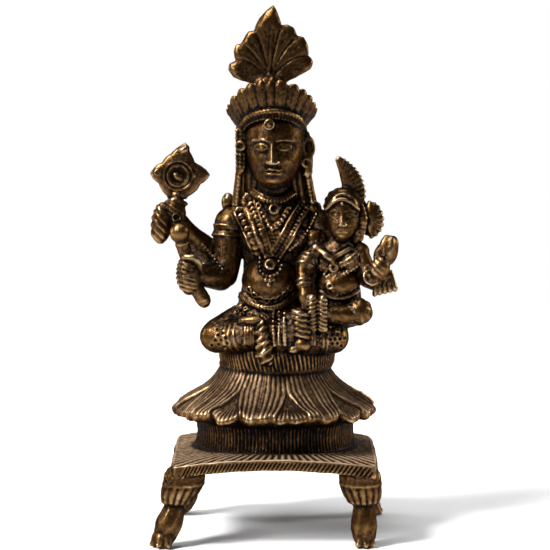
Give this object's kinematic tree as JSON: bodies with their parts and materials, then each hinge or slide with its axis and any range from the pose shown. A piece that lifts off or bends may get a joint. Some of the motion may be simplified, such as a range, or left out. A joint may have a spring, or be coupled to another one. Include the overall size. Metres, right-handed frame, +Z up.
{
  "type": "cast brass shrine figure",
  "caption": "Small cast brass shrine figure: a seated many-armed god with his consort on his thigh, on a lotus seat and a footed stool.",
  "frame": {"origin": "on the ground under the middle of the stool, which is the middle of the whole figure's footprint", "axes": "+Z up through the figure, the figure looks along -Y, +X to the viewer's right"},
  "size_m": [0.073, 0.0679, 0.1576],
  "materials": {
    "aged_brass": "worn cast brass with dark brown patina in the recesses"
  },
  "bodies": {
    "root": {"figure_on_stool": "aged_brass"}
  },
  "joints": []
}
